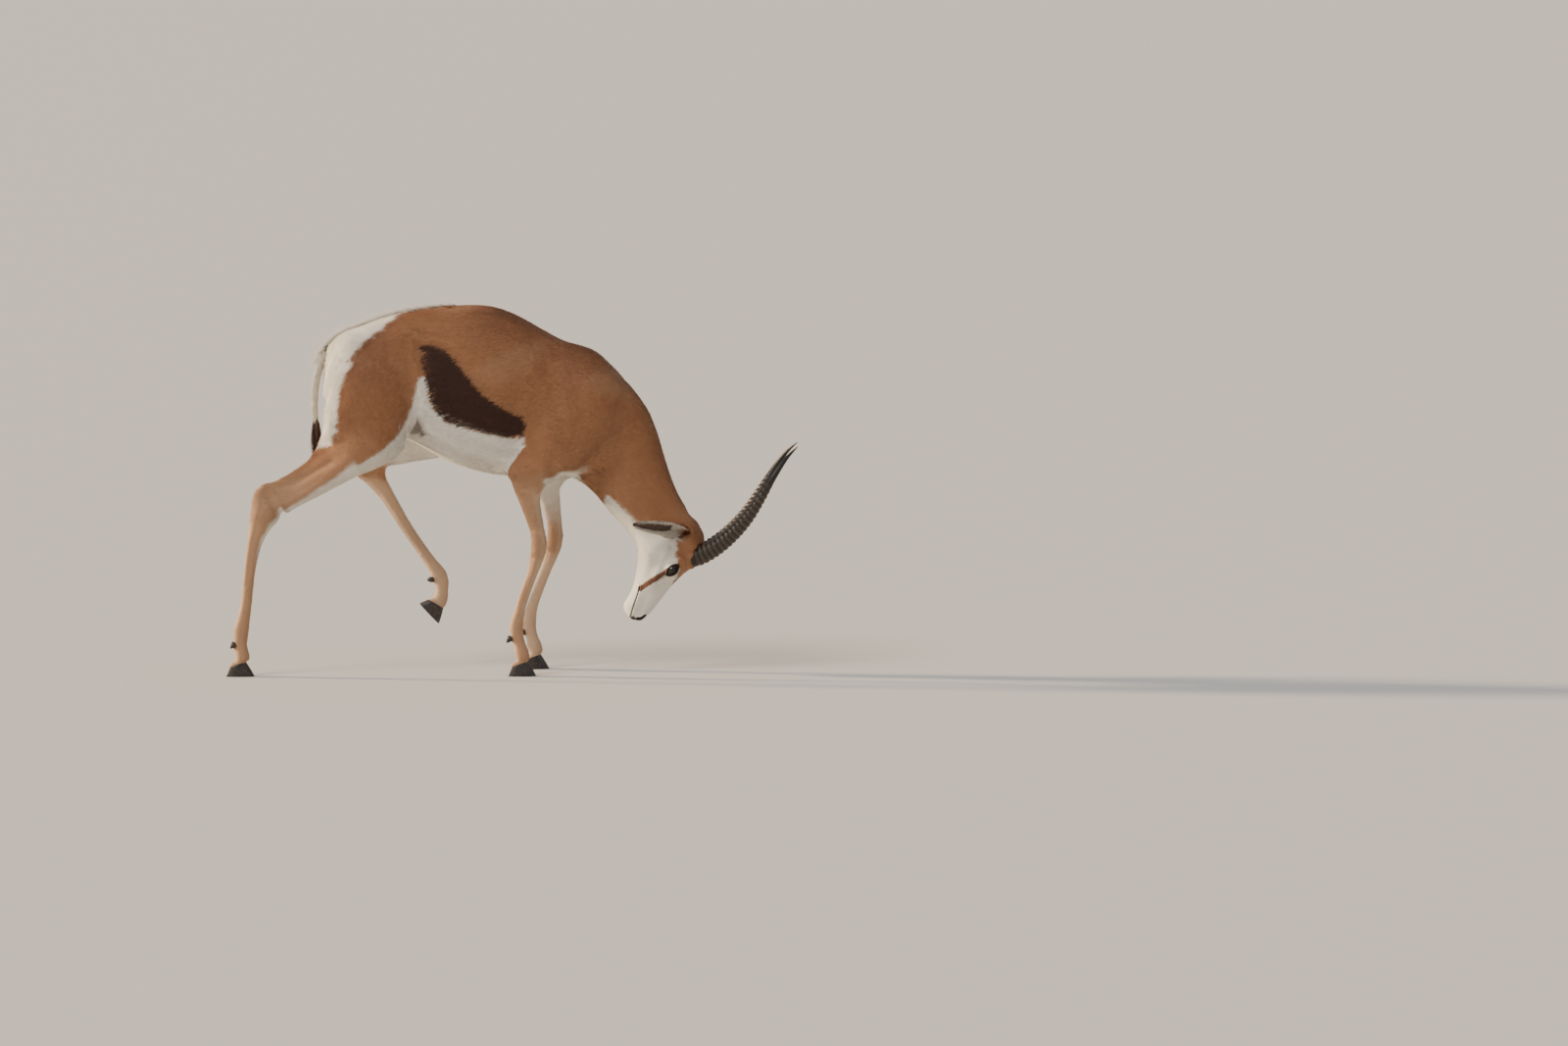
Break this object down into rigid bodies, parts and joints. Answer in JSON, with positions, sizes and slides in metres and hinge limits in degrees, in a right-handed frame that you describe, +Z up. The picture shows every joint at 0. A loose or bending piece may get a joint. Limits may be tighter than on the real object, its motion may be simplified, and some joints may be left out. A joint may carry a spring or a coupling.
{
  "type": "springbok figure",
  "caption": "Life-size horned antelope model in a head-down fighting stance, back arched and one hind leg raised.",
  "frame": {"origin": "centre of the whole bounding box in plan, on the floor under the hooves", "axes": "+X forward along the body towards the head, +Y to the animal's left, +Z up"},
  "size_m": [1.2517, 0.2825, 0.8122],
  "materials": {
    "coat": "short smooth hair, matte",
    "face": "very short hair, matte",
    "tail_hair": "hair, matte",
    "horn": "ringed horn, satin",
    "hoof": "horn, satin",
    "eye": "polished, wet look"
  },
  "bodies": {
    "root": {"torso": "coat", "neck": "coat", "head": "face", "ear_left": "coat", "ear_right": "coat", "eye_left": "eye", "eye_right": "eye", "horn_left": "horn", "horn_right": "horn", "tail": "tail_hair", "hind_left_thigh": "coat", "hind_left_gaskin": "coat", "hind_left_cannon": "coat", "hind_left_pastern": "coat", "fore_left_forearm": "coat", "fore_left_cannon": "coat", "fore_left_pastern": "coat", "hind_left_claw_left": "hoof", "hind_left_claw_right": "hoof", "fore_left_claw_left": "hoof", "fore_left_claw_right": "hoof", "hind_right_thigh": "coat", "hind_right_gaskin": "coat", "hind_right_cannon": "coat", "hind_right_pastern": "coat", "fore_right_forearm": "coat", "fore_right_cannon": "coat", "fore_right_pastern": "coat", "hind_right_claw_left": "hoof", "hind_right_claw_right": "hoof", "fore_right_claw_left": "hoof", "fore_right_claw_right": "hoof"}
  },
  "joints": []
}
